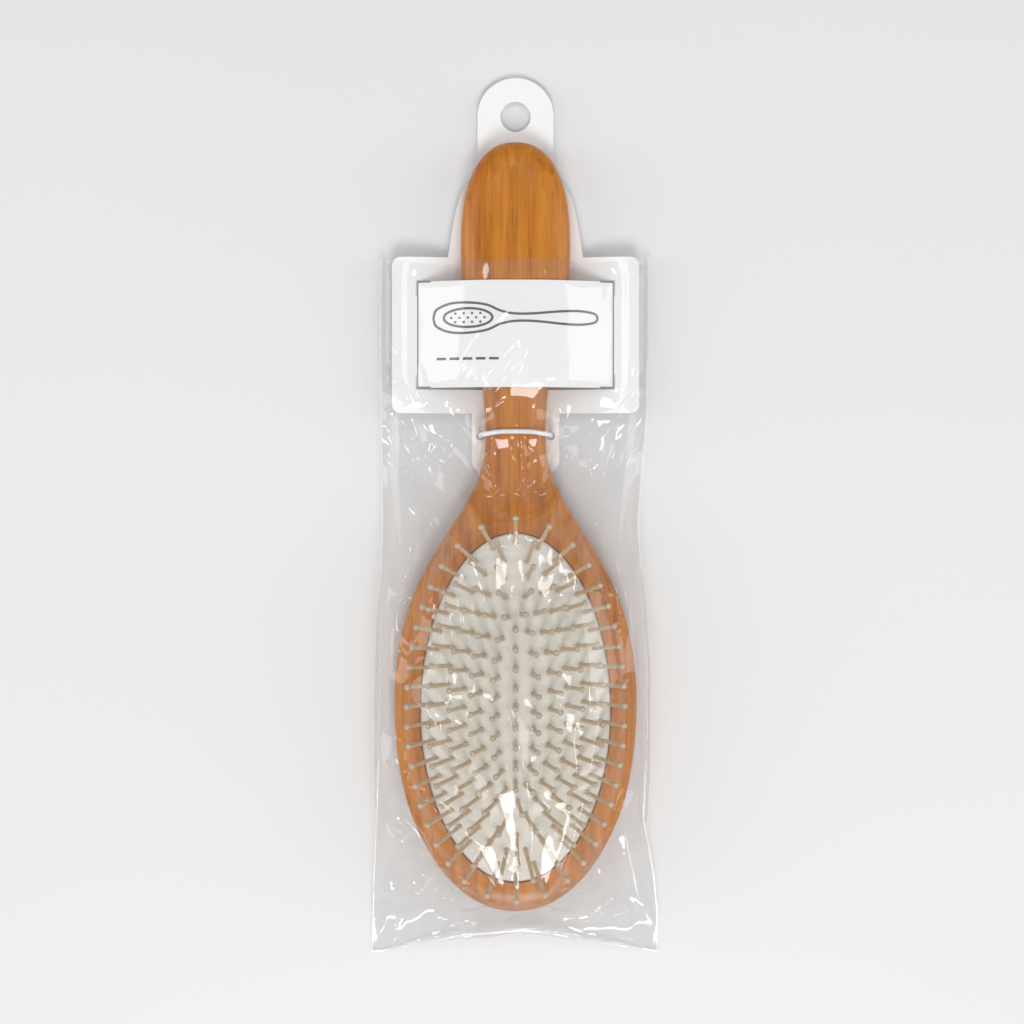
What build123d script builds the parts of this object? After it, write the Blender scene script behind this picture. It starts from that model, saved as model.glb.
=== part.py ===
from build123d import *
from math import copysign, cos, hypot, pi, radians, sin, tan, tanh
import os

# An oval wooden cushion brush in its retail pack, lying on its back with the pins up.
# Millimetres. X is across the brush, +Y runs towards the handle end, +Z is up.
# The origin is on the resting surface, at the centre of the overall footprint.

# Wooden body
HEAD_Y = -61.1  # the head's widest place
HEAD_A, HEAD_B = 37.8, 62.5  # half width, and length from there to the head's end
HEAD_BOTTOM, HEAD_TOP = 0.55, 13.35
HEAD_SQUARENESS = 5.5  # exponent of the head's cross-section, 2 is an ellipse
GRIP_Y = 84.5  # the handle's widest place
GRIP_A, GRIP_B = 17.0, 31.9  # half width, and length from there to the handle's end
GRIP_BOTTOM, GRIP_TOP = 2.4, 15.4
GRIP_SQUARENESS = 2.3
HEAD_ROUND, GRIP_ROUND = 6.5, 16.0  # lengths over which the two ends lose their thickness

# Recess in the face and the cushion that fills it
PAD_Y = -60.7
PAD_A, PAD_UP, PAD_DOWN = 29.8, 55.5, 53.4  # half width, and lengths up and down the brush
RECESS_FLOOR = 5.6
GROOVE_DEPTH, GROOVE_HEIGHT = 1.6, 1.5
RUBBER, RUBBER_GAP = 1.2, 0.08  # membrane thickness, and its clearance in the recess
RIM_Z = 12.3  # where the dome leaves the recess wall
DOME_RISE, DOME_POWER = 5.5, 2.5
VENT_X, VENT_RADIUS = 2.9, 0.8

# Pins
PIN_Y = -58.6  # middle of the pin field
PIN_A, PIN_B = 26.0, 50.3  # half axes of the outer ring
RING_STEP = 5.1  # distance between rings
PIN_PITCH = 5.9  # distance between pins along a ring
RINGS = 5
CENTRE_PINS = 9
PIN_RADIUS, PIN_LENGTH = 0.65, 17.0  # length above the cushion
PIN_HEAD_RADIUS, PIN_HEAD_THICK, PIN_HEAD_DEPTH = 1.3, 0.7, 1.8
TIP_RADIUS, TIP_RISE = 0.95, 0.5  # TIP_RISE is how far a tip's middle is past the pin's end
# How far each ring's pins lean outwards, in degrees, at its sides, its upper end and its lower end
LEANS = [(24, 25, 30.5), (19.5, 20, 28), (15, 14.5, 24.5), (10, 9, 17), (5, 4, 9), (0, 1, 3)]
TOP_SPREAD = 0.02  # widens the pins' spacing round a ring's upper end
RUNNING_GAP = 0.05

# Hang card
CARD = 0.45
CARD_HALF, CARD_BOTTOM, CARD_TOP = 38.6, 32.0, 80.8
SLIT_HALF, SLIT_LOW, SLIT_HIGH = 31.0, 39.4, 73.4
SLIT_LEG, SLIT_WIDTH = 4.7, 0.4
CARD_SIDE_Z = 7.6  # height of the card's two side columns
CARD_BACK_Z, BAND_Z = 2.12, 15.75  # middle of the card behind and in front of the handle
CARD_FLAT = 9.0  # half width of the flat strip behind and in front of the handle
CARD_BENDS = [12.0, 25.0, 25.0, 12.0]  # radii of the bends across the card
CARD_CORNER, SHOULDER_X = 2.8, 21.2
TAB_Y, TAB_RADIUS, TAB_NECK_Y = 125.5, 11.9, 115.0
HANG_HOLE_Y, HANG_HOLE_RADIUS = 125.2, 4.75
LOWER_TAB_HALF, LOWER_TAB_END, LOWER_TAB_CORNER = 13.75, 13.3, 4.0

# Neck tie
TIE_Y, TIE_X = 25.0, 11.0
TIE_RADIUS, TIE_HOLE_RADIUS = 0.7, 1.4
TIE_LOW, TIE_HIGH = 1.1, 13.85
TIE_BENDS = [1.0, 3.6, 3.6, 1.0]
TIE_TAIL, TIE_TAIL_HALF = 13.0, 1.5  # length and half width of the twisted ends

# Bag
FILM = 0.25
BAG_MOUTH, BAG_END = 80.5, -137.4
BAG_CORNER, BAG_HALF = 45.0, 42.3  # half widths at the bottom corners and at the mouth
BAG_ARCHES = [  # place, half width, height and squareness of the front film
    (BAG_MOUTH, 41.2, 18.2, 3.4),
    (50.0, 41.2, 18.2, 3.4),
    (30.0, 41.1, 18.8, 3.4),
    (16.0, 40.8, 23.5, 3.0),
    (2.0, 40.6, 30.9, 2.8),
    (-15.0, 40.6, 35.0, 3.2),
    (-35.0, 41.0, 36.3, 4.0),
    (-60.0, 41.2, 36.5, 4.4),
    (-85.0, 41.4, 36.2, 4.0),
    (-106.0, 41.7, 34.5, 3.4),
    (-119.0, 42.0, 30.6, 3.0),
    (-127.0, 42.2, 20.5, 2.8),
    (-133.0, 42.4, 9.0, 2.6),
    (-136.4, 42.6, 0.8, 2.4),
]


def superellipse_ring(half_width, half_height, squareness, count=24):
    """Points of a closed curve between an ellipse and a rectangle, about the origin."""
    points = []
    for k in range(count):
        t = 2 * pi * k / count
        s = (abs(cos(t)) ** squareness + abs(sin(t)) ** squareness) ** (-1 / squareness)
        points.append((half_width * s * cos(t), half_height * s * sin(t)))
    return points


def rounded_share(distance, length, power):
    """How much of its full thickness an end has, at a distance in from its tip."""
    return (1 - (1 - min(1, distance / length)) ** power) ** (1 / power)


def blend(a, b, share):
    return a + (b - a) * share


def body_sections():
    """Cross-sections of the wooden body: place, half width, middle height, half height, squareness."""
    head_mid, head_half = (HEAD_BOTTOM + HEAD_TOP) / 2, (HEAD_TOP - HEAD_BOTTOM) / 2
    grip_mid, grip_half = (GRIP_BOTTOM + GRIP_TOP) / 2, (GRIP_TOP - GRIP_BOTTOM) / 2
    sections = []
    for angle in (2, 6, 12, 20, 29, 40, 53, 70, 90):
        t = radians(angle)
        inset = HEAD_B * (1 - cos(t))
        squareness = blend(2.4, HEAD_SQUARENESS, min(1, angle / 50))
        half = head_half * rounded_share(inset, HEAD_ROUND, 2.2)
        sections.append((HEAD_Y - HEAD_B * cos(t), HEAD_A * sin(t), head_mid, half, squareness))
    # shoulders, neck and the front of the grip
    sections += [
        (-45.0, 37.0, head_mid, head_half, HEAD_SQUARENESS),
        (-29.5, 33.5, head_mid, head_half, HEAD_SQUARENESS),
        (-16.0, 27.7, 7.0, 6.4, 4.8),
        (-4.5, 20.8, 7.15, 6.2, 3.9),
        (5.5, 14.6, 7.45, 5.8, 3.1),
        (14.5, 10.7, 7.75, 5.25, 2.6),
        (25.0, 9.35, 7.8, 5.25, 2.4),
        (36.0, 9.9, 7.97, 5.4, 2.3),
        (50.0, 12.6, 8.4, 5.9, GRIP_SQUARENESS),
        (66.0, 15.9, 8.8, 6.35, GRIP_SQUARENESS),
    ]
    for angle in (90, 72, 56, 42, 30, 20, 12, 6, 2):
        t = radians(angle)
        y = GRIP_Y + GRIP_B * cos(t) ** (2 / 2.34)
        half = grip_half * rounded_share(GRIP_Y + GRIP_B - y, GRIP_ROUND, 2.3)
        sections.append((y, GRIP_A * sin(t) ** (2 / 2.34), grip_mid, half, GRIP_SQUARENESS))
    return sections


def across(y, z=0.0):
    """A plane across the brush: its x is the brush's X and its y is the brush's Z."""
    return Plane(origin=(0, y, z), x_dir=(1, 0, 0), z_dir=(0, -1, 0))


def egg(share=1.0, grow=0.0):
    """Draws the cushion's outline, scaled and then grown, as two half ellipses."""
    a, up, down = PAD_A * share + grow, PAD_UP * share + grow, PAD_DOWN * share + grow
    EllipticalCenterArc((0, PAD_Y), a, up, 0, arc_size=180)
    EllipticalCenterArc((0, PAD_Y), a, down, 180, arc_size=180)


def dome_height(x, y):
    """Height of the cushion's outer surface at a point of the pad."""
    length = PAD_UP if y > PAD_Y else PAD_DOWN
    share = hypot(x / PAD_A, (y - PAD_Y) / length)
    return RIM_Z + DOME_RISE * (1 - share**DOME_POWER)


def pin_places(ring):
    """Where one ring's pins stand on the cushion, with z along each pin. Ring 5 is the centre row."""
    feet = []
    if ring < RINGS:
        half_width, half_length = PIN_A - RING_STEP * ring, PIN_B - RING_STEP * ring
        oval = Edge.make_ellipse(half_width, half_length, Plane((0, PIN_Y, 0)))
        count = round(oval.length / PIN_PITCH)
        turned = 0.5 * (ring % 2)
        for i in range(count):
            share = (i + turned) / count - 0.5
            share += TOP_SPREAD * tanh(share / 0.08) * (1 - abs(2 * share))
            spot = oval.position_at(share % 1)
            feet.append((spot, Vector(spot.X / half_width**2, (spot.Y - PIN_Y) / half_length**2)))
    else:
        half_length = PIN_PITCH * (CENTRE_PINS - 1) / 2
        for i in range(CENTRE_PINS):
            spot = Vector(0, PIN_Y - half_length + PIN_PITCH * i)
            feet.append((spot, Vector(0, copysign(1, spot.Y - PIN_Y))))
    sides, upper, lower = (tan(radians(angle)) for angle in LEANS[ring])
    places = []
    for spot, outward in feet:
        outward = outward.normalized()
        end = abs((spot.Y - PIN_Y) / half_length) ** 3
        lean = outward * blend(sides, upper if outward.Y > 0 else lower, end)
        foot = (spot.X, spot.Y, dome_height(spot.X, spot.Y))
        places.append(Plane(origin=foot, z_dir=(lean.X, lean.Y, 1)).location)
    return places


def save(part, name):
    part.label = name
    export_step(part, f"parts/{name}.step")


os.makedirs("parts", exist_ok=True)


# Wooden body: one loft from tip to tip, less the recess and its groove
slices = []
for y, half_width, middle, half_height, squareness in body_sections():
    with BuildSketch(across(y, middle)) as section:
        with BuildLine():
            Spline(*superellipse_ring(half_width, half_height, squareness), periodic=True)
        make_face()
    slices.append(section.sketch.face())
with BuildPart() as wooden_body:
    loft(slices)
    with BuildSketch(Plane.XY.offset(RECESS_FLOOR)):
        with BuildLine():
            egg()
        make_face()
    extrude(amount=HEAD_TOP, mode=Mode.SUBTRACT)
    with BuildSketch(Plane.XY.offset(RECESS_FLOOR)):
        with BuildLine():
            egg(grow=GROOVE_DEPTH)
        make_face()
    extrude(amount=GROOVE_HEIGHT, mode=Mode.SUBTRACT)
save(wooden_body.part, "wooden_body")


# Cushion: a flange held by the groove, a wall up the recess and a dome with a hole for each pin
def dome_slices(grow, rise):
    """Egg-shaped sections of the dome, from its rim to just below its top."""
    found = []
    for share in (1.0, 0.95, 0.86, 0.73, 0.56, 0.34, 0.12):
        with BuildSketch(Plane.XY.offset(RIM_Z + rise * (1 - share**DOME_POWER))) as section:
            with BuildLine():
                egg(share, grow * share)
            make_face()
        found.append(section.sketch.face())
    return found


outer_dome = dome_slices(-RUBBER_GAP, DOME_RISE)
inner_dome = dome_slices(-RUBBER_GAP - RUBBER, DOME_RISE - RUBBER)
with BuildPart() as cushion_membrane:
    with BuildSketch(Plane.XY.offset(RECESS_FLOOR + RUBBER_GAP)):
        with BuildLine():
            egg(grow=GROOVE_DEPTH - RUBBER_GAP)
        make_face()
    extrude(amount=GROOVE_HEIGHT - 2 * RUBBER_GAP)
    with BuildSketch(Plane.XY.offset(RECESS_FLOOR + RUBBER_GAP)):
        with BuildLine():
            egg(grow=-RUBBER_GAP)
        make_face()
    extrude(amount=RIM_Z - RECESS_FLOOR - RUBBER_GAP)
    loft(outer_dome)
    with BuildSketch(Plane.XY.offset(RECESS_FLOOR)):
        with BuildLine():
            egg(grow=-RUBBER_GAP - RUBBER)
        make_face()
    extrude(amount=RIM_Z - RECESS_FLOOR, mode=Mode.SUBTRACT)
    loft(inner_dome, mode=Mode.SUBTRACT)
    with Locations((VENT_X, PIN_Y, RIM_Z)):
        Cylinder(VENT_RADIUS, 4 * DOME_RISE, mode=Mode.SUBTRACT)
    for ring in range(RINGS + 1):
        with Locations(*pin_places(ring)):
            Cylinder(PIN_RADIUS + RUNNING_GAP, 4 * PIN_HEAD_DEPTH, mode=Mode.SUBTRACT)
save(cushion_membrane.part, "cushion_membrane")


# One pin and one tip, about the place where the pin leaves the cushion
with BuildPart() as pin:
    with Locations((0, 0, -PIN_HEAD_DEPTH)):
        Cylinder(PIN_RADIUS, PIN_LENGTH + PIN_HEAD_DEPTH, align=(Align.CENTER, Align.CENTER, Align.MIN))
        Cylinder(PIN_HEAD_RADIUS, PIN_HEAD_THICK, align=(Align.CENTER, Align.CENTER, Align.MAX))

with BuildPart() as pin_tip:
    with Locations((0, 0, PIN_LENGTH + TIP_RISE)):
        Sphere(TIP_RADIUS)
    split(bisect_by=Plane.XY.offset(PIN_LENGTH), keep=Keep.TOP)

for ring in range(RINGS + 1):
    name = f"ring_{ring + 1}" if ring < RINGS else "centre_row"
    with BuildPart() as pins:
        with Locations(*pin_places(ring)):
            add(pin.part)
    save(pins.part, f"pins_{name}")
    with BuildPart() as tips:
        with Locations(*pin_places(ring)):
            add(pin_tip.part)
    save(tips.part, f"tips_{name}")


# Hang card: one sheet, bowed behind the handle, with a band between the slits raised over it
def card_section(strip_z):
    """Draws the card's section: flat side columns and a flat strip at another height between them."""
    corners = [(-CARD_HALF, CARD_SIDE_Z), (-SLIT_HALF, CARD_SIDE_Z), (-CARD_FLAT, strip_z)]
    corners += [(-x, z) for x, z in reversed(corners)]
    above = [(x, z + CARD / 2) for x, z in corners]
    below = [(x, z - CARD / 2) for x, z in corners]
    FilletPolyline(*above, radius=CARD_BENDS)
    FilletPolyline(*below, radius=CARD_BENDS)
    Line(above[0], below[0])
    Line(above[-1], below[-1])


with BuildSketch() as card_outline:
    with BuildLine():
        CenterArc((0, TAB_Y), TAB_RADIUS, 0, 180)
        for side in (-1, 1):
            neck, shoulder = (side * TAB_RADIUS, TAB_NECK_Y), (side * SHOULDER_X, CARD_TOP)
            Line((side * TAB_RADIUS, TAB_Y), neck)
            Spline(neck, (side * 16.9, 100.8), shoulder, tangents=[(0, -1), (side * 0.2, -1)])
            Polyline(
                shoulder,
                (side * CARD_HALF, CARD_TOP),
                (side * CARD_HALF, CARD_BOTTOM),
                (side * LOWER_TAB_HALF, CARD_BOTTOM),
                (side * LOWER_TAB_HALF, LOWER_TAB_END),
            )
        Line((-LOWER_TAB_HALF, LOWER_TAB_END), (LOWER_TAB_HALF, LOWER_TAB_END))
    make_face()
    corners = card_outline.vertices()
    fillet(corners.filter_by_position(Axis.Y, 0, LOWER_TAB_END + 1), LOWER_TAB_CORNER)
    corners = card_outline.vertices().filter_by(lambda v: abs(v.X) > CARD_HALF - 1)
    fillet(corners, CARD_CORNER)
    with Locations((0, HANG_HOLE_Y)):
        Circle(HANG_HOLE_RADIUS, mode=Mode.SUBTRACT)
    with Locations((-TIE_X, TIE_Y), (TIE_X, TIE_Y)):
        Circle(TIE_HOLE_RADIUS, mode=Mode.SUBTRACT)
    with Locations((0, (SLIT_LOW + SLIT_HIGH) / 2)):
        Rectangle(2 * SLIT_HALF, SLIT_HIGH - SLIT_LOW, mode=Mode.SUBTRACT)

with BuildPart() as label_band:
    with BuildSketch(across(SLIT_HIGH - SLIT_WIDTH)):
        with BuildLine():
            card_section(BAND_Z)
        make_face()
    extrude(amount=SLIT_HIGH - SLIT_LOW - 2 * SLIT_WIDTH)
    with Locations(*[(x, y, CARD_SIDE_Z) for x in (-SLIT_HALF, SLIT_HALF) for y in (SLIT_LOW, SLIT_HIGH)]):
        Box(SLIT_WIDTH, 2 * SLIT_LEG, 4, mode=Mode.SUBTRACT)
    with Locations((0, (SLIT_LOW + SLIT_HIGH) / 2, CARD_SIDE_Z)):
        Box(2 * SLIT_HALF + 4, SLIT_HIGH, 4 * BAND_Z, mode=Mode.INTERSECT)

with BuildPart() as hang_card:
    with BuildSketch(across(TAB_Y + TAB_RADIUS)):
        with BuildLine():
            card_section(CARD_BACK_Z)
        make_face()
    extrude(amount=TAB_Y + TAB_RADIUS - LOWER_TAB_END)
    extrude(card_outline.sketch, amount=2 * CARD_SIDE_Z, mode=Mode.INTERSECT)
    add(label_band.part)
save(hang_card.part, "hang_card")


# Neck tie: over the neck, down through the card's holes, with its ends twisted behind the card
with BuildPart() as neck_tie:
    with BuildLine(across(TIE_Y)) as loop:
        over = [(TIE_TAIL_HALF, TIE_LOW), (TIE_X, TIE_LOW), (TIE_X, TIE_HIGH)]
        over += [(-x, z) for x, z in reversed(over)]
        FilletPolyline(*over, radius=TIE_BENDS)
    with BuildSketch(Plane(origin=loop.line @ 0, z_dir=loop.line % 0)):
        Circle(TIE_RADIUS)
    sweep()
    with BuildSketch(Plane.XY.offset(TIE_LOW - TIE_RADIUS)):
        with Locations((0, TIE_Y - TIE_TAIL / 2 + TIE_TAIL_HALF)):
            RectangleRounded(2 * TIE_TAIL_HALF, TIE_TAIL, TIE_RADIUS)
    extrude(amount=2 * TIE_RADIUS)
save(neck_tie.part, "neck_tie")


# Bag: a flat back film, and a front film bowed over the brush and welded to it round the edge
def bag_outline():
    """Draws the flat outline of the bag, a little wider at its bottom corners."""
    for side in (-1, 1):
        Spline((side * BAG_CORNER, BAG_END), (side * 42.6, -95), (side * BAG_HALF, -20), (side * BAG_HALF, BAG_MOUTH))
    Line((-BAG_CORNER, BAG_END), (BAG_CORNER, BAG_END))
    Line((-BAG_HALF, BAG_MOUTH), (BAG_HALF, BAG_MOUTH))


def bag_slices(inset):
    """Sections of the space under the front film: an arch at each place along the bag."""
    found = []
    for y, half_width, height, squareness in BAG_ARCHES:
        a, c = half_width - inset, height - inset
        arch = superellipse_ring(a, c, squareness)[:13]
        with BuildSketch(across(y, FILM)) as section:
            with BuildLine():
                Spline(*arch)
                Line(arch[0], arch[-1])
            make_face()
        found.append(section.sketch.face())
    return found


with BuildPart() as bag_back_film:
    with BuildSketch():
        with BuildLine():
            bag_outline()
        make_face()
    extrude(amount=FILM)
save(bag_back_film.part, "bag_back_film")

outside, inside = bag_slices(0), bag_slices(FILM)
with BuildPart() as bag_front_film:
    with BuildSketch(Plane.XY.offset(FILM)):
        with BuildLine():
            bag_outline()
        make_face()
    extrude(amount=FILM)
    loft(outside, ruled=True)
    loft(inside, ruled=True, mode=Mode.SUBTRACT)
save(bag_front_film.part, "bag_front_film")
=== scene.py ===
"""A wooden paddle brush on its hang card, in a clear film bag, seen from straight above."""

import math

import bpy
import numpy as np
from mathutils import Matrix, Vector
from mathutils.bvhtree import BVHTree


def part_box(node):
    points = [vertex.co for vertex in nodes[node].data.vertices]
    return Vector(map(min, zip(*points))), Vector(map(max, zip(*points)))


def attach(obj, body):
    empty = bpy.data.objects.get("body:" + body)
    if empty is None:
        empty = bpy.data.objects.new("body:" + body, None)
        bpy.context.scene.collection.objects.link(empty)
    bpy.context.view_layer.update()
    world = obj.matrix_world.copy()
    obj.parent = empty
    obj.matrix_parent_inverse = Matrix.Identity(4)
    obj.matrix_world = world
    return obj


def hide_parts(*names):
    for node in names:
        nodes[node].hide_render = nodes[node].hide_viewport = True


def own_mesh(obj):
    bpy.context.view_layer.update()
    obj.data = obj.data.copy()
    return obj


MM = 0.001
RINGS = ("ring_1", "ring_2", "ring_3", "ring_4", "ring_5", "centre_row")

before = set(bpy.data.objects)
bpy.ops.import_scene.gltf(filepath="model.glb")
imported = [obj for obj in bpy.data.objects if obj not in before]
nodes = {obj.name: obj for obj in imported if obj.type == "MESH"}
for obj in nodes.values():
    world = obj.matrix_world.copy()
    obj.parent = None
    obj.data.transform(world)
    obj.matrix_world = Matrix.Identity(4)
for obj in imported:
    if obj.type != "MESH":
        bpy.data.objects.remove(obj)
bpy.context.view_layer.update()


# ---------------------------------------------------------------- materials


class Nodes:
    """A small helper that makes and joins shader nodes."""

    def __init__(self, name):
        self.material = bpy.data.materials.new(name)
        self.material.use_nodes = True
        self.tree = self.material.node_tree
        self.shader = self.tree.nodes["Principled BSDF"]
        self.output = self.tree.nodes["Material Output"]
        self.place = self.make("ShaderNodeTexCoord").outputs["Object"]

    def make(self, kind, **values):
        """A new node, with its sockets and settings given by name."""
        node = self.tree.nodes.new(kind)
        for key, value in values.items():
            if key in node.inputs:
                node.inputs[key].default_value = value
            else:
                setattr(node, key, value)
        return node

    def join(self, source, target):
        self.tree.links.new(source, target)

    def stretched(self, scale):
        """Object coordinates, scaled differently along each axis."""
        mapping = self.make("ShaderNodeMapping")
        mapping.inputs["Scale"].default_value = scale
        self.join(self.place, mapping.inputs["Vector"])
        return mapping.outputs["Vector"]

    def noise(self, vector, scale, detail=4.0, roughness=0.5, distortion=0.0):
        node = self.make("ShaderNodeTexNoise", Scale=scale, Detail=detail, Roughness=roughness)
        node.inputs["Distortion"].default_value = distortion
        self.join(vector, node.inputs["Vector"])
        return node.outputs["Fac"]

    def ramp(self, source, stops):
        """A colour that changes along the stops as source goes from 0 to 1."""
        node = self.make("ShaderNodeValToRGB")
        elements = node.color_ramp.elements
        while len(elements) < len(stops):
            elements.new(0.5)
        for element, (position, colour) in zip(elements, stops):
            element.position = position
            element.color = (*colour, 1.0)
        self.join(source, node.inputs["Fac"])
        return node.outputs["Color"]

    def mix(self, share, first, second, blend="MIX"):
        """Two colours mixed. Each argument is a value or another node's socket."""
        node = self.make("ShaderNodeMix", data_type="RGBA", blend_type=blend)
        for value, name in ((share, "Factor"), (first, "A"), (second, "B")):
            sockets = [s for s in node.inputs if s.name == name and s.enabled]
            if isinstance(value, bpy.types.NodeSocket):
                self.join(value, sockets[0])
            else:
                sockets[0].default_value = value if name == "Factor" else (*value, 1.0)
        return [s for s in node.outputs if s.enabled][0]

    def scaled(self, source, low, high):
        """A number from low to high as source goes from 0 to 1."""
        node = self.make("ShaderNodeMapRange")
        node.inputs["To Min"].default_value = low
        node.inputs["To Max"].default_value = high
        self.join(source, node.inputs["Value"])
        return node.outputs["Result"]

    def bump(self, height, strength, distance):
        """Roughens the shader's normal, and returns it for other shaders."""
        node = self.make("ShaderNodeBump", Strength=strength, Distance=distance)
        self.join(height, node.inputs["Height"])
        self.join(node.outputs["Normal"], self.shader.inputs["Normal"])
        return node.outputs["Normal"]

    def set(self, **values):
        """Sets the main shader's sockets, with underscores for the spaces in their names."""
        for key, value in values.items():
            self.shader.inputs[key.replace("_", " ")].default_value = value


def linear(red, green, blue):
    """An sRGB colour of 0 to 255 as scene light."""
    shares = [c / 255 for c in (red, green, blue)]
    return tuple(c / 12.92 if c <= 0.04045 else ((c + 0.055) / 1.055) ** 2.4 for c in shares)


def wood_material():
    """Honey-brown lacquered wood, its grain along the brush."""
    n = Nodes("lacquered_wood")
    grain = n.noise(n.stretched((160, 7, 160)), 3.2, 7.0, 0.62, 0.5)
    bands = n.noise(n.stretched((34, 2.6, 34)), 2.1, 3.0, 0.5, 1.4)
    pores = n.noise(n.stretched((900, 45, 900)), 1.6, 3.0, 0.6)
    light, mid, dark = linear(208, 134, 38), linear(176, 98, 14), linear(136, 66, 4)
    base = n.ramp(bands, [(0.3, mid), (0.52, light), (0.75, linear(184, 106, 18))])
    lines = n.ramp(grain, [(0.34, dark), (0.5, linear(186, 108, 20)), (0.68, light)])
    colour = n.mix(0.5, base, lines)
    flecks = n.ramp(pores, [(0.3, (0.66, 0.55, 0.4)), (0.42, (1, 1, 1))])
    n.join(n.mix(0.7, colour, flecks, "MULTIPLY"), n.shader.inputs["Base Color"])
    n.join(n.scaled(grain, 0.34, 0.46), n.shader.inputs["Roughness"])
    n.set(Coat_Weight=0.25, Coat_Roughness=0.22, Specular_IOR_Level=0.3)
    n.bump(pores, 0.12, 0.0001)
    return n.material


def rubber_material():
    """The pale grey rubber of the cushion, with a fine pebbled skin."""
    n = Nodes("pad_rubber")
    cloud = n.noise(n.place, 90, 4.0)
    grain = n.noise(n.place, 2600, 3.0, 0.6)
    colour = n.ramp(cloud, [(0.3, linear(233, 231, 222)), (0.7, linear(241, 239, 231))])
    n.join(colour, n.shader.inputs["Base Color"])
    n.join(n.scaled(grain, 0.55, 0.7), n.shader.inputs["Roughness"])
    n.set(Sheen_Weight=0.1)
    n.bump(grain, 0.5, 0.0002)
    return n.material


def pin_material(name, low, high, roughness):
    """Translucent-looking moulded nylon, faintly streaked along its length."""
    n = Nodes(name)
    streak = n.noise(n.stretched((600, 600, 90)), 2.0, 3.0)
    n.join(n.ramp(streak, [(0.3, low), (0.7, high)]), n.shader.inputs["Base Color"])
    n.join(n.scaled(streak, roughness, roughness + 0.12), n.shader.inputs["Roughness"])
    n.bump(streak, 0.06, 0.0001)
    return n.material


def card_material():
    """Smooth coated card, with a trace of fibre in its surface."""
    n = Nodes("white_card")
    cloud = n.noise(n.place, 40, 3.0)
    fibre = n.noise(n.stretched((1500, 700, 1500)), 2.0, 4.0, 0.6)
    colour = n.ramp(cloud, [(0.3, linear(246, 247, 247)), (0.7, linear(250, 250, 250))])
    n.join(colour, n.shader.inputs["Base Color"])
    n.join(n.scaled(fibre, 0.42, 0.55), n.shader.inputs["Roughness"])
    n.bump(fibre, 0.06, 0.0001)
    return n.material


def tie_material():
    """The soft white plastic coat of the tie."""
    n = Nodes("white_tie")
    cloud = n.noise(n.place, 700, 3.0)
    colour = n.ramp(cloud, [(0.3, linear(232, 232, 232)), (0.7, linear(245, 245, 244))])
    n.join(colour, n.shader.inputs["Base Color"])
    n.join(n.scaled(cloud, 0.35, 0.5), n.shader.inputs["Roughness"])
    n.bump(cloud, 0.15, 0.0001)
    return n.material


def print_and_shade_material():
    """Grey printing colour, a little uneven, for the band's print and for the grey shade lines painted
    along the slits.
    """
    n = Nodes("grey_print_and_slit_shade")
    cloud = n.noise(n.place, 3000, 3.0)
    colour = n.ramp(cloud, [(0.3, linear(84, 83, 82)), (0.7, linear(98, 97, 96))])
    n.join(colour, n.shader.inputs["Base Color"])
    n.join(n.scaled(cloud, 0.5, 0.7), n.shader.inputs["Roughness"])
    return n.material


def film_material(name, haze, ripple):
    """Clear film: see-through, milky in places, with a sharp shine that grows at grazing angles."""
    n = Nodes(name)
    fine = n.noise(n.stretched((60, 25, 60)), 3.0, 3.0)
    milky = n.noise(n.stretched((60, 22, 60)), 1.4, 4.0)
    n.set(Base_Color=(0.93, 0.93, 0.94, 1.0), Roughness=0.5, Specular_IOR_Level=0.2)
    normal = n.bump(fine, ripple, 0.0004)
    clear = n.make("ShaderNodeBsdfTransparent")
    clear.inputs["Color"].default_value = (0.98, 0.98, 0.98, 1.0)
    body = n.make("ShaderNodeMixShader")
    n.join(n.scaled(milky, haze * -0.4, haze * 2.4), body.inputs["Fac"])
    n.join(clear.outputs["BSDF"], body.inputs[1])
    n.join(n.shader.outputs["BSDF"], body.inputs[2])
    shine = n.make("ShaderNodeBsdfGlossy", Roughness=0.07)
    facing = n.make("ShaderNodeLayerWeight", Blend=0.5)
    grazing = n.make("ShaderNodeMath", operation="POWER")
    grazing.inputs[1].default_value = 4.5
    n.join(normal, shine.inputs["Normal"])
    n.join(facing.outputs["Facing"], grazing.inputs[0])
    film = n.make("ShaderNodeMixShader")
    n.join(n.scaled(grazing.outputs["Value"], 0.06, 0.6), film.inputs["Fac"])
    n.join(body.outputs["Shader"], film.inputs[1])
    n.join(shine.outputs["BSDF"], film.inputs[2])
    n.join(film.outputs["Shader"], n.output.inputs["Surface"])
    return n.material


def floor_material():
    """The plain pale sheet that the pack lies on."""
    n = Nodes("pale_floor")
    cloud = n.noise(n.place, 3, 2.0)
    colour = n.ramp(cloud, [(0.3, (0.80, 0.80, 0.80)), (0.7, (0.82, 0.82, 0.82))])
    n.join(colour, n.shader.inputs["Base Color"])
    n.set(Roughness=0.9, Specular_IOR_Level=0.1)
    return n.material


# ---------------------------------------------------------------- meshes


def mesh_piece(name, points, faces, material, body):
    """A new object from points in metres, smooth shaded, that rides on a body."""
    mesh = bpy.data.meshes.new(name)
    mesh.from_pydata([tuple(p) for p in points], [], faces)
    mesh.validate()
    mesh.polygons.foreach_set("use_smooth", [True] * len(mesh.polygons))
    mesh.materials.append(material)
    piece = bpy.data.objects.new(name, mesh)
    bpy.context.collection.objects.link(piece)
    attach(piece, body)
    return piece


def grid_faces(rows, columns, closed=False):
    """Quads of a grid whose points are numbered row by row, joined round the columns if closed."""
    faces = []
    for i in range(rows - 1):
        for j in range(columns if closed else columns - 1):
            k = (j + 1) % columns
            faces.append((i * columns + j, i * columns + k, (i + 1) * columns + k, (i + 1) * columns + j))
    return faces


def paint(node, material):
    """Gives a CAD node a material."""
    mesh = nodes[node].data
    mesh.materials.clear()
    mesh.materials.append(material)


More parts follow.
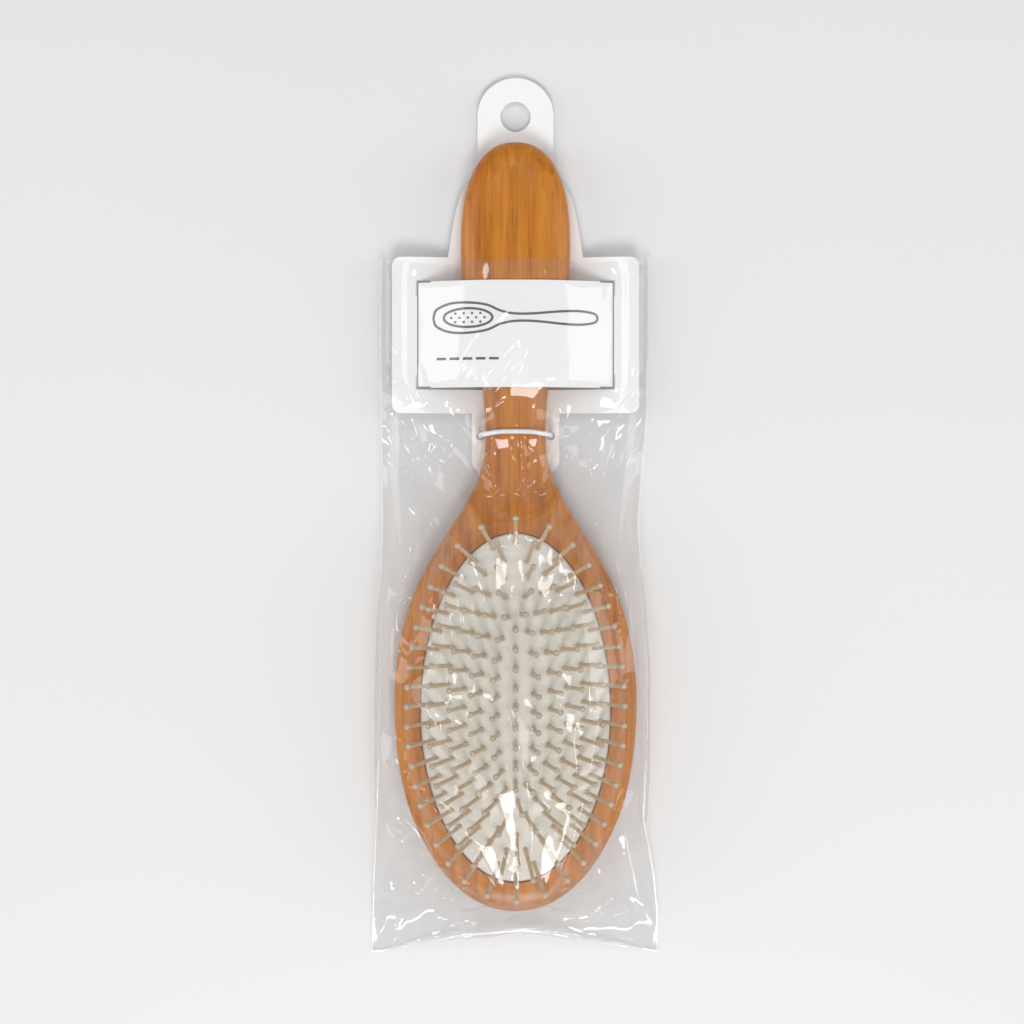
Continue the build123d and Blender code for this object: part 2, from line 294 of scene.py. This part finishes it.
def smooth_curve(points, count):
    """A Catmull-Rom curve through a few points, as count points."""
    p = np.array(points, float)
    p = np.vstack([2 * p[0] - p[1], p, 2 * p[-1] - p[-2]])
    t = np.linspace(0, len(points) - 1 - 1e-9, count)
    i = t.astype(int)
    f = (t - i)[:, None]
    a, b, c, d = p[i], p[i + 1], p[i + 2], p[i + 3]
    return 0.5 * (2 * b + (c - a) * f + (2 * a - 5 * b + 4 * c - d) * f**2 + (3 * b - a - 3 * c + d) * f**3)


def tube(path, radius, sides=12):
    """Points and faces of a round tube along a path, with rounded ends."""
    ahead = np.gradient(path, axis=0)
    ahead /= np.linalg.norm(ahead, axis=1)[:, None]
    side = np.cross(ahead[0], [0.3, 0.5, 0.8])
    rings = []
    sizes = np.ones(len(path))
    sizes[[0, -1]], sizes[[1, -2]] = 0.45, 0.85
    for p, d, s in zip(path, ahead, sizes):
        side = side - d * np.dot(side, d)
        side /= np.linalg.norm(side)
        up = np.cross(d, side)
        turns = np.linspace(0, 2 * math.pi, sides, endpoint=False)
        rings.append([p + radius * s * (side * math.cos(t) + up * math.sin(t)) for t in turns])
    made = np.array(rings).reshape(-1, 3)
    faces = grid_faces(len(path), sides, closed=True)
    faces += [tuple(range(sides))[::-1], tuple(range(len(made) - sides, len(made)))]
    return made, faces


# ---------------------------------------------------------------- cushion

RIM_Z = 12.3 * MM  # where the dome leaves the recess
PAD_Y = -60.7 * MM
PAD_A = 29.7 * MM  # half width
PAD_UP, PAD_DOWN = 55.4 * MM, 53.3 * MM  # lengths from PAD_Y towards the handle and the other way
DOME_RISE, DOME_POWER = 5.5 * MM, 2.5
SHAFT_HEIGHT = 10 * MM  # a pin's shaft is taller than this, and its other solids are not
# The rubber's raised collar round a pin, and the dimple inside it, in mm
COLLAR_RISE, COLLAR_RADIUS, COLLAR_WIDTH = 0.38, 1.25, 0.42
DIMPLE_DEPTH, DIMPLE_RADIUS = 0.30, 0.8


def pin_feet():
    """Where the pins leave the cushion: each shaft's axis, followed down to the dome."""
    feet = []
    for ring in RINGS:
        mesh = nodes[f"pins_{ring}"].data
        for group in loose_parts(mesh):
            points = np.array([mesh.vertices[v].co for v in group])
            if np.ptp(points[:, 2]) < SHAFT_HEIGHT:
                continue
            middle = points.mean(axis=0)
            axis = np.linalg.svd(points - middle)[2][0]
            foot = middle
            for _ in range(5):
                foot = middle + axis / axis[2] * (dome_height(foot[0], foot[1]) - middle[2])
            feet.append(foot)
    return np.array(feet)


def loose_parts(mesh):
    """The vertex numbers of each separate solid of a mesh."""
    parent = list(range(len(mesh.vertices)))

    def root(v):
        while parent[v] != v:
            parent[v] = parent[parent[v]]
            v = parent[v]
        return v

    for edge in mesh.edges:
        a, b = (root(v) for v in edge.vertices)
        parent[a] = b
    groups = {}
    for v in range(len(parent)):
        groups.setdefault(root(v), []).append(v)
    return list(groups.values())


def dome_height(x, y):
    """The height of the dome's surface at a place."""
    length = PAD_UP if y > PAD_Y else PAD_DOWN
    share = min(1.0, math.hypot(x / PAD_A, (y - PAD_Y) / length))
    return RIM_Z + DOME_RISE * (1 - share**DOME_POWER)


def make_cushion():
    """The rubber pad: a dome with a raised collar round each pin and an edge rolled into the recess."""
    feet = pin_feet()
    rows = 150
    edge_shares, edge_sinks = [0.992, 0.997, 1.0, 1.0], [0.1, 0.35, 0.9, 2.2]
    shares = np.concatenate([np.linspace(0.01, 0.985, rows), edge_shares])
    sinks = np.concatenate([np.zeros(rows), edge_sinks]) * MM
    turns = np.linspace(0, 2 * math.pi, 480, endpoint=False)
    share, turn = np.meshgrid(shares, turns, indexing="ij")
    x = PAD_A * share * np.cos(turn)
    along = np.where(np.sin(turn) > 0, PAD_UP, PAD_DOWN)
    y = PAD_Y + along * share * np.sin(turn)
    z = RIM_Z + DOME_RISE * (1 - np.minimum(share, 1) ** DOME_POWER) - sinks[:, None]
    for foot in feet:
        d = np.hypot(x - foot[0], y - foot[1]) / MM
        collar = COLLAR_RISE * np.exp(-(((d - COLLAR_RADIUS) / COLLAR_WIDTH) ** 2))
        dimple = DIMPLE_DEPTH * np.exp(-((d / DIMPLE_RADIUS) ** 2))
        z += (collar - dimple) * MM
    points = np.stack([x, y, z], axis=-1).reshape(-1, 3)
    faces = grid_faces(*x.shape, closed=True)
    middle = len(points)
    points = np.vstack([points, [0, PAD_Y, RIM_Z + DOME_RISE]])
    faces += [(middle, (j + 1) % x.shape[1], j) for j in range(x.shape[1])]
    faces = [f[::-1] for f in faces]
    pad = mesh_piece("cushion_pad", points, faces, rubber_material(), "brush")
    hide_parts("cushion_membrane")
    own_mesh(pad)


# ---------------------------------------------------------------- card print, painted slit shade, and tie


# Places and sizes on the card are in mm
CARD_Y = 56.4  # middle of the card's body
RIBBON_LIFT = 0.03
DRAWING_Y, DASHES_Y = 61.4, 48.7
# The last width is that of the grey lines painted along the slits as their shade
OUTLINE_WIDTH, DOT_WIDTH, DASH_WIDTH, SLIT_SHADE_WIDTH = 0.75, 0.7, 0.8, 0.32
PAD_MIDDLE = -14.8  # of the drawn brush, across the card
# Where the painted shade lines along the two slits run: across, where their legs end, and their low and
# high ends
SLIT_X, SLIT_LEG_X, SLIT_LOW, SLIT_HIGH = 30.5, 26.4, 40, 72.8

TIE_RADIUS = 0.78 * MM
TAIL_LENGTH = 11.0 * MM
TAIL_TURNS = 2.5


def card_top():
    """A search tree over the card, to lay things on its surface."""
    mesh = nodes["hang_card"].data
    return BVHTree.FromPolygons([v.co for v in mesh.vertices], [p.vertices for p in mesh.polygons])


def lay_on_card(tree, x, y):
    """A point just over the card, in metres, nudged off the slits and the mesh's own edges."""
    for nudge in (0, 0.05, 0.15, 0.3, 0.5):
        inward = 1 - nudge / 30
        above = Vector((x * inward * MM, (CARD_Y + (y - CARD_Y) * inward) * MM, 1))
        hit = tree.ray_cast(above, Vector((0, 0, -1)))[0]
        if hit:
            return (x * MM, y * MM, hit.z + RIBBON_LIFT * MM)
    raise ValueError(f"no card at {x:.2f}, {y:.2f}")


def mirrored(points):
    """A closed outline from its upper half, which runs left to right."""
    return points + [(x, -y) for x, y in points[-2:0:-1]] + points[:1]


def drawn_brush():
    """The outline of a brush and its pad, with dots for pins, as lines with their widths."""
    edge = [(-25.6, 0), (-24.6, 2.6), (-20.5, 4.4), (-15, 4.7), (-9, 3.9), (-4.5, 2.0), (0, 1.15)]
    edge += [(6, 1.2), (14, 1.9), (20, 2.1), (24.4, 1.4), (25.5, 0)]
    turns = np.linspace(0, math.pi, 9)
    pad = [(PAD_MIDDLE - 7.6 * math.cos(t), 2.9 * math.sin(t)) for t in turns]
    outlines = [smooth_curve(mirrored(line), 200) + [0, DRAWING_Y] for line in (edge, pad)]
    lines = [(line, OUTLINE_WIDTH) for line in outlines]
    for row, count in ((1, 4), (0, 5), (-1, 4)):
        for k in range(count):
            x = PAD_MIDDLE + (k - (count - 1) / 2) * 2.6
            dot = [(x + 0.35 * s, DRAWING_Y + 1.35 * row) for s in (-1, 0, 1)]
            lines.append((np.array(dot), DOT_WIDTH))
    return lines


def drawn_marks():
    """Five dashes under the drawing, and grey lines painted along the two slits as their shade, with their
    widths.
    """
    lines = []
    for k in range(5):
        x = -24.6 + 4.1 * k
        lines.append((np.array([(x + 3.0 * s, DASHES_Y) for s in np.linspace(0, 1, 5)]), DASH_WIDTH))
    for side in (-1, 1):
        high = [(side * SLIT_LEG_X, SLIT_HIGH), (side * SLIT_X, SLIT_HIGH)]
        low = [(side * SLIT_X, SLIT_LOW), (side * SLIT_LEG_X, SLIT_LOW)]
        # A grey line painted along each slit stands in for the shade in its gap
        slit_shade_line = high + low
        for a, b in zip(slit_shade_line, slit_shade_line[1:]):
            lines.append((np.linspace(a, b, 24), SLIT_SHADE_WIDTH))
    return lines


def make_print_and_slit_shade(print_and_shade):
    """The band's print, and the painted shade lines along the slits, laid on the card as flat ribbons."""
    tree = card_top()
    points, faces = [], []
    for line, width in drawn_brush() + drawn_marks():
        ahead = np.gradient(line, axis=0)
        ahead /= np.linalg.norm(ahead, axis=1)[:, None]
        side = np.stack([-ahead[:, 1], ahead[:, 0]], axis=1) * width / 2
        start = len(points)
        for p, d in zip(line, side):
            points += [lay_on_card(tree, *(p + d)), lay_on_card(tree, *(p - d))]
        faces += [tuple(v + start for v in f) for f in grid_faces(len(line), 2)]
    piece = mesh_piece("card_print_and_slit_shade", points, faces, print_and_shade, "brush")


def make_tie():
    """The coated tie: over the neck, down through the card, and twisted into a tail behind it."""
    box_low, box_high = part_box("neck_tie")
    y = box_high[1] - 1.5 * MM
    right = box_high[0] - TIE_RADIUS
    top = box_high[2] + 0.15 * MM - TIE_RADIUS
    low = box_low[2] + TIE_RADIUS
    half = [
        (0.002, y, low),
        (right - 0.0016, y, low),
        (right - 0.0002, y, low + 0.0012),
        (right, y, top * 0.45),
        (right - 0.0003, y + 0.0002, top - 0.003),
        (right - 0.0026, y + 0.0005, top - 0.0005),
        (right * 0.45, y + 0.001, top - 0.0001),
        (0, y + 0.0011, top),
    ]
    path = half + [(-px, py, pz) for px, py, pz in half[-2::-1]]
    loop, faces = tube(smooth_curve(path, 160), TIE_RADIUS)
    points = [loop]
    for phase in (0, math.pi):
        turns = np.linspace(0, TAIL_TURNS * 2 * math.pi, 90)
        down = np.linspace(0.0, TAIL_LENGTH, 90)
        x = 0.72 * MM * np.cos(turns + phase)
        z = low + 0.12 * MM * np.sin(turns + phase)
        made, found = tube(np.stack([x, y - down, z], axis=1), TIE_RADIUS * 0.8)
        start = sum(len(p) for p in points)
        faces += [tuple(v + start for v in f) for f in found]
        points.append(made)
    piece = mesh_piece("twisted_tie", np.vstack(points), faces, tie_material(), "brush")
    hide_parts("neck_tie")


# ---------------------------------------------------------------- film bag

# Half widths of the bag's left and right seams at places along it, and the seams' heights.
# The film is worked out in mm.
SEAM_PLACES = [80.5, 55, 30, 12, -2, -20, -45, -75, -95, -112, -125, -136.5]
SEAM_LEFT = [42.0, 42.2, 42.0, 41.8, 41.6, 41.8, 42.4, 42.9, 43.4, 44.4, 44.8, 45.0]
SEAM_RIGHT = [41.5, 41.4, 41.0, 39.4, 38.2, 39.2, 40.8, 40.8, 40.0, 43.2, 44.6, 44.4]
SEAM_HEIGHT = [5.0, 5.0, 4.5, 4.0, 5.0, 7.0, 9.0, 9.0, 7.0, 4.0, 1.6, 0.6]
BOTTOM_RISE, BOTTOM_HEIGHT = 6.6, 7.0  # the bottom seam's middle: how far up the brush, and off the table
BAG_TOP, BAG_BOTTOM = 80.5, -136.5
ACROSS, ALONG = 91, 181  # points of each film's grid
FIELD_X, FIELD_Y = (-50, 50.1), (-145, 85.1)  # reach of the height field under the film
STEP = 0.5  # of the height field
CLEARANCE = 0.35  # of the film over what is under it
BACK_HEIGHT = 0.08  # of the back film off the table
SETTLE_STEPS, QUICK_STEPS = 260, 60
FALL, KEPT_SPEED = 0.010, 0.96  # how far the film drops at each step, and the share of its speed it keeps
LANDING_SPEED = 0.3  # share of its speed that the film keeps where it lands
ACROSS_SHARE = np.linspace(-1, 1, ACROSS)  # from the left seam to the right one
ALONG_Y = np.linspace(BAG_TOP, BAG_BOTTOM, ALONG)


def height_field(names):
    """Heights of what lies under the film, on a grid over FIELD_X and FIELD_Y."""
    points, faces = [], []
    for name in names:
        mesh = nodes[name].data
        start = len(points)
        points += [v.co.copy() for v in mesh.vertices]
        faces += [tuple(v + start for v in p.vertices) for p in mesh.polygons]
    tree = BVHTree.FromPolygons(points, faces)
    xs, ys = np.arange(*FIELD_X, STEP), np.arange(*FIELD_Y, STEP)
    field = np.zeros((len(ys), len(xs)))
    down = Vector((0, 0, -1))
    for i, y in enumerate(ys):
        for j, x in enumerate(xs):
            hit = tree.ray_cast(Vector((x * MM, y * MM, 0.1)), down)[0]
            field[i, j] = hit.z / MM if hit else 0.0
    return field


def spread_over(field, radius, best):
    """Each value becomes the best one within a radius of it."""
    reach = int(radius / STEP)
    padded = np.pad(field, reach, mode="edge")
    made = field.copy()
    rows, columns = field.shape
    for i in range(-reach, reach + 1):
        for j in range(-reach, reach + 1):
            if i * i + j * j <= reach * reach:
                made = best(made, padded[reach + i : reach + i + rows, reach + j : reach + j + columns])
    return made


def blurred(field, times):
    """The field with its steps softened, over a distance that grows every second time."""
    made = field.copy()
    for k in range(times):
        reach = 1 + k // 2
        padded = np.pad(made, reach, mode="edge")
        rows, columns = made.shape
        sides = [(0, reach), (2 * reach, reach), (reach, 0), (reach, 2 * reach)]
        made = made * 0.4 + 0.15 * sum(padded[i : i + rows, j : j + columns] for i, j in sides)
    return made


def sample(field, x, y):
    """The height field at points, between its grid values."""
    u = np.clip((x - FIELD_X[0]) / STEP, 0, field.shape[1] - 1.001)
    v = np.clip((y - FIELD_Y[0]) / STEP, 0, field.shape[0] - 1.001)
    i, j = v.astype(int), u.astype(int)
    a, b = v - i, u - j
    top = field[i, j] * (1 - b) + field[i, j + 1] * b
    bottom = field[i + 1, j] * (1 - b) + field[i + 1, j + 1] * b
    return top * (1 - a) + bottom * a


def seam(side, y):
    """A seam's x and z at a place along the bag."""
    places = SEAM_PLACES[::-1]
    half = np.interp(y, places, (SEAM_LEFT if side < 0 else SEAM_RIGHT)[::-1])
    return side * half, np.interp(y, places, SEAM_HEIGHT[::-1])


def start_shape(field):
    """The film before it settles: an arch over the brush from seam to seam, at each place along it."""
    crest_y = np.linspace(BAG_TOP, BAG_BOTTOM, 400)
    crest = np.array([sample(field, np.linspace(-30, 30, 61), np.full(61, y)).max() for y in crest_y])
    crest = np.maximum(crest, 1.0) + 0.6
    for _ in range(30):
        crest[1:-1] = np.maximum(crest[1:-1], (crest[:-2] + crest[2:]) / 2)
    crest[crest_y < -134] = np.minimum(crest[crest_y < -134], 8)
    path = np.concatenate([[0], np.cumsum(np.hypot(np.diff(crest_y), np.diff(crest)))])
    share = np.linspace(0, path[-1], ALONG)
    middle_y, middle_z = np.interp(share, path, crest_y), np.interp(share, path, crest)
    shape = np.zeros((ALONG, ACROSS, 3))
    u = ACROSS_SHARE
    for i in range(ALONG):
        arch = (1 - np.abs(u) ** 3.2) ** (1 / 2.4)
        left, low_left = seam(-1, ALONG_Y[i])
        right, low_right = seam(1, ALONG_Y[i])
        x = (left + right) / 2 + (right - left) / 2 * np.sign(u) * np.abs(u) ** 0.86
        inward = 1 - np.abs(u) ** 2
        y = ALONG_Y[i] + (middle_y[i] - ALONG_Y[i]) * inward
        base = low_left + (low_right - low_left) * (u + 1) / 2
        shape[i] = np.stack([x, y, base + (middle_z[i] - base) * arch], axis=1)
    # The bottom seam bows up the brush and off the table
    bow = 0.5 + 0.5 * np.cos(math.pi * u)
    bottom = shape[-1]
    bottom[:, 1] = BAG_BOTTOM + BOTTOM_RISE * bow + 0.35 * np.sin(9 * u + 1)
    bottom[:, 2] = 0.6 + BOTTOM_HEIGHT * bow + 0.4 * np.sin(14 * u) ** 2
    for k in range(1, 12):
        f = k / 12
        shape[-1 - k, :, 1] += (bottom[:, 1] - BAG_BOTTOM) * (1 - f) ** 2
    return shape


def settle(shape, field, steps):
    """Lets the film fall and crease: neighbours keep their distance, seams stay, nothing goes through."""
    rng = np.random.default_rng(7)
    looseness = 1.02 + 0.012 * coarse_noise(rng, 7, 14)
    # Each link: the neighbour it reaches, its strength, and how loose it is
    links = [((0, 1), 0.8, looseness), ((1, 0), 0.8, looseness)]
    links += [((1, 1), 0.35, looseness), ((1, -1), 0.35, looseness)]
    links += [((0, 3), 0.12, None), ((3, 0), 0.12, None), ((0, 6), 0.08, None), ((6, 0), 0.08, None)]
    free = np.ones(shape.shape[:2])
    free[:, 0] = free[:, -1] = free[-1] = 0
    free = free[..., None]
    rests = []
    for (di, dj), _, loose in links:
        a, b = pair(shape, di, dj)
        scale = 1.0 if loose is None else pair(loose[..., None], di, dj)[0]
        rests.append(np.linalg.norm(b - a, axis=2, keepdims=True) * scale)
    now = shape.copy()
    before = now.copy()
    wander = np.stack([coarse_noise(rng, 14, 28) for _ in range(3)], axis=2) * 0.02
    for step in range(steps):
        push = np.array([0, 0, -FALL]) + wander * max(0, 1 - step / (0.5 * steps))
        moved = now + ((now - before) * KEPT_SPEED + push) * free
        before = now
        now = moved
        for _ in range(4):
            for ((di, dj), strength, _), rest in zip(links, rests):
                a, b = pair(now, di, dj)
                gap = b - a
                size = np.linalg.norm(gap, axis=2, keepdims=True)
                change = gap * (0.5 * strength * (1 - rest / np.maximum(size, 1e-6)))
                fa, fb = pair(free, di, dj)
                a += change * fa
                b -= change * fb
        floor = sample(field, now[..., 0], now[..., 1]) + CLEARANCE
        under = (now[..., 2] < floor) & (free[..., 0] > 0)
        now[..., 2] = np.where(under, floor, now[..., 2])
        before[under] = now[under] - (now[under] - before[under]) * LANDING_SPEED
    return now


def pair(grid, di, dj):
    """Two overlapping views of a grid, one shifted by di rows and dj columns from the other."""
    rows, columns = grid.shape[:2]
    if dj >= 0:
        return grid[: rows - di, : columns - dj], grid[di:, dj:]
    return grid[: rows - di, -dj:], grid[di:, : columns + dj]


def coarse_noise(rng, columns, rows):
    """Smooth noise from -1 to 1 over the film's grid, from a few random values."""
    values = rng.uniform(-1, 1, (rows, columns))
    i = np.linspace(0, rows - 1.001, ALONG)
    j = np.linspace(0, columns - 1.001, ACROSS)
    a, b = i - i.astype(int), j - j.astype(int)
    a, b = (a * a * (3 - 2 * a))[:, None], (b * b * (3 - 2 * b))[None]
    i, j = i.astype(int)[:, None], j.astype(int)[None]
    top = values[i, j] * (1 - b) + values[i, j + 1] * b
    bottom = values[i + 1, j] * (1 - b) + values[i + 1, j + 1] * b
    return top * (1 - a) + bottom * a


# The film's main creases, as lines, each with its height and half width
CREASES = [
    ([(-41.7, 30.2), (-33, 19), (-25.2, 4.8)], 0.9, 2.6),
    ([(-31.4, 19.5), (-21.4, 7)], 0.6, 2.0),
    ([(38, 31.4), (28, 25), (16.7, 17.7)], 0.9, 2.8),
    ([(37.7, 30.8), (31, 21), (25.5, 9.5)], 0.9, 2.8),
    ([(22.3, 28.3), (7.7, 18.6)], 0.6, 2.2),
    ([(-10.5, 15.8), (-2, 9.5), (7.7, 4.8)], 0.8, 2.0),
    ([(-8.3, 8.6), (-1, 8), (7.7, 4.8)], 0.7, 1.8),
    ([(-21.4, 35), (-14, 34.5), (-5.8, 29.5)], 0.6, 2.0),
    ([(-39.5, -2.7), (-32.6, -6.4), (-37.3, -13.3)], 0.9, 2.4),
    ([(30.8, -1.7), (37.7, -7.3), (37.7, -16)], 0.9, 2.4),
    ([(-36.4, -97), (-44, -117)], 1.5, 3.0),
    ([(-20.8, -114), (-41.4, -133)], 1.8, 3.2),
    ([(35.5, -87), (29.8, -101), (36.7, -126)], 1.7, 3.4),
    ([(31, -77), (15, -86), (6.5, -96), (3, -117)], 2.2, 5.0),
    ([(1, -87), (2, -100), (2, -119)], 1.6, 3.4),
    ([(13, -58), (9, -68), (4.5, -80)], 1.8, 4.6),
    ([(-4, -83), (-8, -93), (-12.5, -104)], 1.8, 4.6),
    ([(-34, -75), (-25, -80), (-16, -95)], 1.4, 3.6),
    ([(-35, -53), (-31, -45), (-25, -42)], 1.4, 3.4),
    ([(20, -117), (4, -124)], 1.2, 3.4),
    ([(-38, -104), (-27, -116), (-16, -128)], 1.5, 3.0),
    ([(12, -125), (24, -121), (38, -131)], 1.6, 3.2),
]


def crease_height(x, y):
    """How far the creases lift the film at points."""
    lift = np.zeros_like(x)
    for line, height, half in CREASES:
        path = smooth_curve(line, 40)
        ends = np.sin(np.linspace(0.12, math.pi - 0.12, 40)) ** 0.6
        far = np.hypot(x[..., None] - path[:, 0], y[..., None] - path[:, 1])
        near = far.argmin(axis=-1)
        share = np.clip(1 - far.min(axis=-1) / (half * ends[near]), 0, 1)
        lift += height * ends[near] * share * (1.4 - 0.4 * share)
    return lift


def ridges(values):
    """Turns smooth waves from -1 to 1 into creases: sharp along their crests and flat between."""
    return 1 - 2 * np.abs(values) ** 0.8


def waves(turn, count, phase):
    """Uneven waves round a fan, from -1 to 1."""
    return np.sin(count * turn + phase + 0.9 * np.sin(2.3 * turn + phase))


def fan(x, y, middle, count, curl, phase):
    """Creases that spread from a point, and how far each place is from that point."""
    turn, far = np.arctan2(x - middle[0], y - middle[1]), np.hypot(x - middle[0], y - middle[1])
    return ridges(waves(turn + curl * far, count, phase)), far


def add_folds(front):
    """Creases the film: a fan up from the lowest pin, one from the card down to the head, and crumples."""
    rng = np.random.default_rng(3)
    x, y = front[..., 0], front[..., 1]
    side = np.clip((1 - np.abs(ACROSS_SHARE)) / 0.12, 0, 1)[None]
    end = np.clip((ALONG - 1 - np.arange(ALONG)) / 8, 0, 1)[:, None]
    low, low_far = fan(x, y, (2, -128), 8.0, 0.004, 0.6)
    low = low * np.clip(low_far / 30, 0, 1) * 2.3
    low = low * np.clip((-48 - y) / 20, 0, 1)
    high, high_far = fan(x, y, (0, -20), 8.0, 0.006, 0.2)
    high = high * np.clip((high_far - 8) / 30, 0, 1) * 1.2
    high = high * np.clip((y + 14) / 10, 0, 1) * np.clip((44 - y) / 14, 0, 1)
    crumple = 0.6 * ridges(coarse_noise(rng, 7, 15)) + 0.2 * ridges(coarse_noise(rng, 17, 34))
    # The film is flat over the card, calmer over the pad, and most crumpled in the lower corners
    over_pad = 0.6 * np.exp(-(((y + 76) / 34) ** 2) - (x / 30) ** 2)
    in_corners = 1.9 * np.exp(-(((y + 122) / 14) ** 2)) * (1 - np.exp(-((x / 22) ** 2)))
    amount = np.clip((44 - y) / 14, 0.12, 1) * (1 - over_pad) + in_corners
    air = 2.4 * np.exp(-(((y + 50) / 32) ** 2)) * (1 - ACROSS_SHARE[None] ** 2)
    front[..., 2] += (low + high + crumple * amount + crease_height(x, y) + air) * side * end


def refine(piece):
    """One subdivision, applied, so that creases shade smoothly."""
    piece.modifiers.new("finer", "SUBSURF").levels = 1
    graph = bpy.context.evaluated_depsgraph_get()
    mesh = bpy.data.meshes.new_from_object(piece.evaluated_get(graph))
    piece.modifiers.clear()
    piece.data = mesh


def under_film():
    """The height field that the film settles on: everything in the bag, with its gaps bridged."""
    names = ["wooden_body", "hang_card", "neck_tie", "cushion_membrane"]
    names += [f"{kind}_{ring}" for kind in ("pins", "tips") for ring in RINGS]
    field = blurred(spread_over(height_field(names), 5, np.maximum), 8)
    bridged = spread_over(spread_over(field, 3, np.maximum), 6, np.minimum)
    return blurred(bridged, 4)


def front_shape():
    """The settled and creased front film."""
    field = under_film()
    front = settle(start_shape(field), field, SETTLE_STEPS)
    add_folds(front)
    inside = front[1:-1, 1:-1]
    floor = sample(field, inside[..., 0], inside[..., 1]) + CLEARANCE
    inside[..., 2] = np.maximum(inside[..., 2], floor)
    return front


def back_shape(front):
    """The back film: flat on the table, and up to the front film at the seams and the bottom."""
    u, y = ACROSS_SHARE[None], ALONG_Y[:, None]
    lift = np.clip((np.abs(u) - 0.84) / 0.16, 0, 1) ** 1.6
    ripple = 0.5 + 0.5 * coarse_noise(np.random.default_rng(11), 16, 24)
    left, low_left = seam(-1, y)
    right, low_right = seam(1, y)
    seam_z = np.where(u < 0, low_left, low_right)
    ends = np.clip((np.arange(ALONG)[:, None] - (ALONG - 12)) / 11, 0, 1) ** 1.5
    inner = np.clip((0.97 - np.abs(u)) / 0.1, 0, 1)
    back = np.zeros_like(front)
    back[..., 0] = (left + right) / 2 + (right - left) / 2 * u
    back[..., 1] = y + ends * (front[-1, :, 1] - y)
    back[..., 2] = BACK_HEIGHT + seam_z * lift * (1 - ends) + 0.12 * ripple * inner
    back[..., 2] += ends * (front[-1, :, 2] - BACK_HEIGHT)
    back[:, 0], back[:, -1], back[-1] = front[:, 0], front[:, -1], front[-1]
    return back


def film_edge(front):
    """The points down the left seam, along the bottom and up the right seam."""
    edge = [front[i, 0] for i in range(ALONG)] + [front[-1, j] for j in range(1, ACROSS)]
    edge += [front[i, -1] for i in range(ALONG - 2, -1, -1)]
    return np.array(edge)


def make_bag():
    """The two films and the weld round their edges."""
    front = front_shape()
    film = film_material("clear_film", haze=0.036, ripple=0.08)
    faces = grid_faces(ALONG, ACROSS)
    upward = [f[::-1] for f in faces]
    over = mesh_piece("front_film", (front * MM).reshape(-1, 3), upward, film, "bag")
    refine(over)
    under = mesh_piece("back_film", (back_shape(front) * MM).reshape(-1, 3), faces, film, "bag")
    refine(under)
    weld = make_weld(film_edge(front))
    for made, node, held in ((over, "bag_front_film", "draped"), (under, "bag_back_film", "laid")):
        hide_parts(node)
    for made in (over, under, weld):
        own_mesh(made)


def make_weld(edge):
    """The narrow crimped strip where the two films are welded."""
    ahead = np.gradient(edge, axis=0)
    ahead[:, 2] = 0
    ahead /= np.linalg.norm(ahead, axis=1)[:, None]
    out = np.stack([-ahead[:, 1], ahead[:, 0], 0 * ahead[:, 0]], axis=1)
    middle = edge.mean(axis=0)
    if np.sum(out * (edge - middle)) < 0:
        out = -out
    rows = [edge + out * w + [0, 0, dz] for w, dz in ((-0.25, 0.1), (0.1, 0.14), (0.45, 0.05))]
    points = np.stack(rows, axis=1).reshape(-1, 3) * MM
    faces = grid_faces(len(edge), 3)
    film = film_material("welded_film", haze=0.45, ripple=0.2)
    return mesh_piece("film_weld", points, faces, film, "bag")


# ---------------------------------------------------------------- stage


WORLD_LIGHT = 0.33
WINDOW_PLACES = ((-0.42, -0.3), (0.45, -0.12), (-0.32, 0.42), (0.3, 0.5), (0.02, 0.75))


def area_light(name, place, aim, size, power):
    """A white rectangular lamp that points at a place."""
    data = bpy.data.lights.new(name, "AREA")
    data.shape = "RECTANGLE"
    data.size, data.size_y = size
    data.energy = power
    lamp = bpy.data.objects.new(name, data)
    lamp.location = place
    lamp.rotation_euler = (Vector(aim) - Vector(place)).to_track_quat("-Z", "Y").to_euler()
    bpy.context.collection.objects.link(lamp)


def make_stage():
    """A pale floor, a white surround, three large lamps, and small ones that glint in the film."""
    bpy.ops.mesh.primitive_plane_add(size=3)
    floor = bpy.context.object
    floor.name = "floor"
    floor.data.materials.append(floor_material())
    world = bpy.data.worlds.new("studio")
    bpy.context.scene.world = world
    world.use_nodes = True
    background = world.node_tree.nodes["Background"]
    background.inputs["Color"].default_value = (1, 1, 1, 1)
    background.inputs["Strength"].default_value = WORLD_LIGHT
    area_light("left_box", (-1.1, 0.1, 0.5), (0, 0, 0), (0.5, 1.2), 4.4)
    area_light("right_box", (1.1, 0.1, 0.5), (0, 0, 0), (0.5, 1.2), 4.1)
    area_light("front_box", (0.04, -0.56, 0.95), (0, -0.05, 0), (0.4, 0.4), 5.2)
    for k, place in enumerate(WINDOW_PLACES):
        area_light(f"window_{k}", (*place, 1.0), (0, 0, 0), (0.13, 0.13), 0.46)


def make_camera():
    """Straight above, where the photograph was taken from."""
    distance, width = 0.9, 0.32
    aim = (-0.0011, 0.0011, 0.007)
    data = bpy.data.cameras.new("camera")
    data.sensor_width = 36
    data.lens = data.sensor_width * distance / width
    data.clip_start = 0.01
    camera = bpy.data.objects.new("camera", data)
    camera.location = (aim[0], aim[1], aim[2] + distance)
    bpy.context.collection.objects.link(camera)
    bpy.context.scene.camera = camera


make_camera()
make_stage()
bpy.context.scene.view_settings.view_transform = "Standard"

paint("wooden_body", wood_material())
paint("hang_card", card_material())
pin = pin_material("pin_nylon", linear(196, 170, 132), linear(216, 194, 160), 0.3)
tip = pin_material("tip_nylon", linear(176, 161, 141), linear(196, 182, 162), 0.3)
for ring in RINGS:
    paint(f"pins_{ring}", pin)
    paint(f"tips_{ring}", tip)
make_cushion()
make_print_and_slit_shade(print_and_shade_material())
make_tie()
make_bag()
